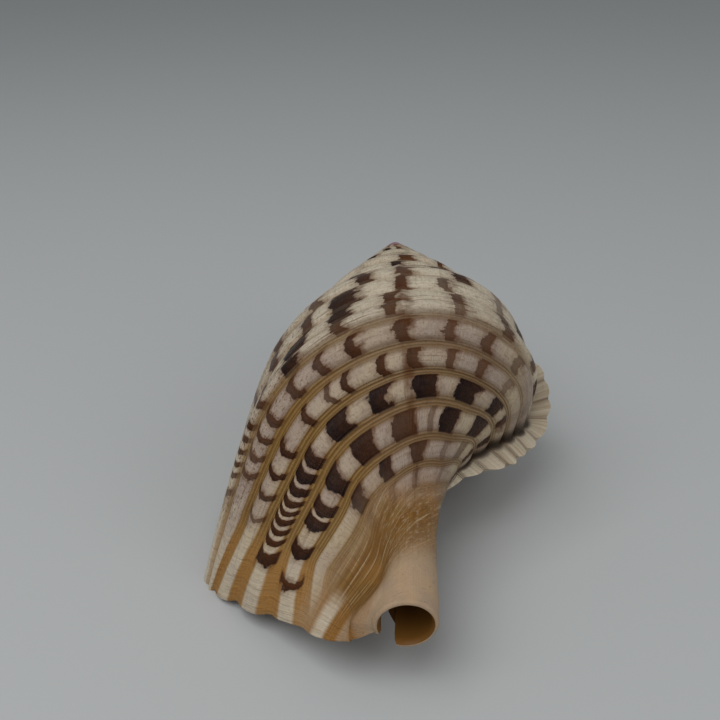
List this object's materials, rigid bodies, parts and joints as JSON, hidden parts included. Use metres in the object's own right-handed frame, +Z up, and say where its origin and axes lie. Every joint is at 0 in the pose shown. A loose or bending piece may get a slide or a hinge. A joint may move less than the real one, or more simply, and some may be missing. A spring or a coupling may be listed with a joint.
{
  "type": "giant triton shell",
  "caption": "Large cream and brown spiral sea shell with raised cords, varices, a flared open mouth and a short open canal, lying on its mouth.",
  "frame": {"origin": "middle of the shell's footprint, on the surface that it lies on", "axes": "+Y from the canal's end towards the apex, +Z up away from the mouth, +X to the side opposite the lip"},
  "size_m": [0.162, 0.2928, 0.117],
  "materials": {
    "shell": "satin"
  },
  "bodies": {
    "root": {"shell": "shell"}
  },
  "joints": []
}
